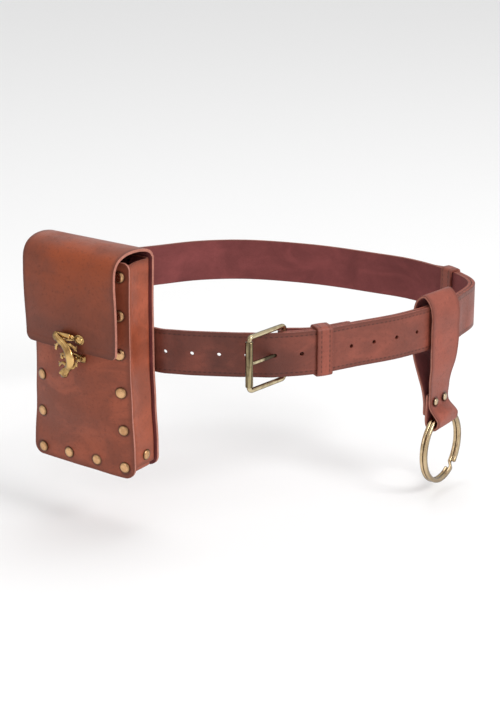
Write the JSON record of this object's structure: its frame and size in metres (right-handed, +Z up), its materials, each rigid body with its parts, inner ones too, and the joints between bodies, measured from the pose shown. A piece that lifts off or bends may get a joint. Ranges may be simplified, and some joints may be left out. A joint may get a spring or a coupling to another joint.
{
  "type": "belt pouch set",
  "caption": "Leather waist belt with a roller buckle, a riveted flap pouch with a lizard swing clasp, and a hanger strap with a split ring.",
  "frame": {"origin": "middle of the belt's closed loop, at half the height of the strap", "axes": "+Z up as worn; -Y from the origin to the buckle side; +X to the right of someone facing the buckle"},
  "size_m": [0.3955, 0.3099, 0.2385],
  "materials": {
    "belt_leather": "waxed",
    "pouch_leather": "waxed",
    "hanger_leather": "waxed",
    "buckle_brass": "antique",
    "ring_brass": "antique",
    "cast_brass": "antique cast",
    "rivet_brass": "antique"
  },
  "bodies": {
    "belt_set": {"belt_strap": "belt_leather", "buckle_frame": "buckle_brass", "buckle_roller": "buckle_brass", "buckle_prong": "buckle_brass", "keeper_front": "belt_leather", "keeper_back": "belt_leather", "pouch_front": "pouch_leather", "pouch_back_flap": "pouch_leather", "gusset_left": "pouch_leather", "gusset_right": "pouch_leather", "gusset_bottom": "pouch_leather", "pouch_belt_loop": "pouch_leather", "rivet_front_left_1": "rivet_brass", "rivet_front_right_1": "rivet_brass", "rivet_front_left_2": "rivet_brass", "rivet_front_right_2": "rivet_brass", "rivet_front_left_3": "rivet_brass", "rivet_front_right_3": "rivet_brass", "rivet_front_left_4": "rivet_brass", "rivet_front_right_4": "rivet_brass", "rivet_front_left_5": "rivet_brass", "rivet_front_right_5": "rivet_brass", "rivet_front_left_6": "rivet_brass", "rivet_front_right_6": "rivet_brass", "rivet_front_bottom_left": "rivet_brass", "rivet_front_bottom_right": "rivet_brass", "rivet_back_left_1": "rivet_brass", "rivet_back_right_1": "rivet_brass", "rivet_back_left_2": "rivet_brass", "rivet_back_right_2": "rivet_brass", "rivet_back_left_3": "rivet_brass", "rivet_back_right_3": "rivet_brass", "rivet_back_left_4": "rivet_brass", "rivet_back_right_4": "rivet_brass", "rivet_back_left_5": "rivet_brass", "rivet_back_right_5": "rivet_brass", "rivet_back_left_6": "rivet_brass", "rivet_back_right_6": "rivet_brass", "rivet_back_bottom_left": "rivet_brass", "rivet_back_bottom_right": "rivet_brass", "rivet_side_left": "rivet_brass", "rivet_side_right": "rivet_brass", "rivet_loop_low_left": "rivet_brass", "rivet_loop_low_right": "rivet_brass", "rivet_loop_high_left": "rivet_brass", "rivet_loop_high_right": "rivet_brass", "clasp_plate": "cast_brass", "clasp_pin": "cast_brass", "clasp_catch": "cast_brass", "hanger_strap": "hanger_leather", "hanger_rivet_left": "rivet_brass", "hanger_rivet_right": "rivet_brass"},
    "clasp_arm": {"clasp_arm": "cast_brass"},
    "ring": {"ring": "ring_brass"}
  },
  "joints": [
    {"name": "clasp_swing", "type": "hinge", "parent": "belt_set", "child": "clasp_arm", "pos_m": [-0.15058, -0.14218, 0.0185], "axis": [-0.8251, 0.565, 0], "range_deg": [0, 100]},
    {"name": "ring_swing", "type": "hinge", "parent": "belt_set", "child": "ring", "pos_m": [0.16707, -0.05275, -0.08745], "axis": [0.551, 0.8345, 0], "range_deg": [-8, 8]}
  ]
}
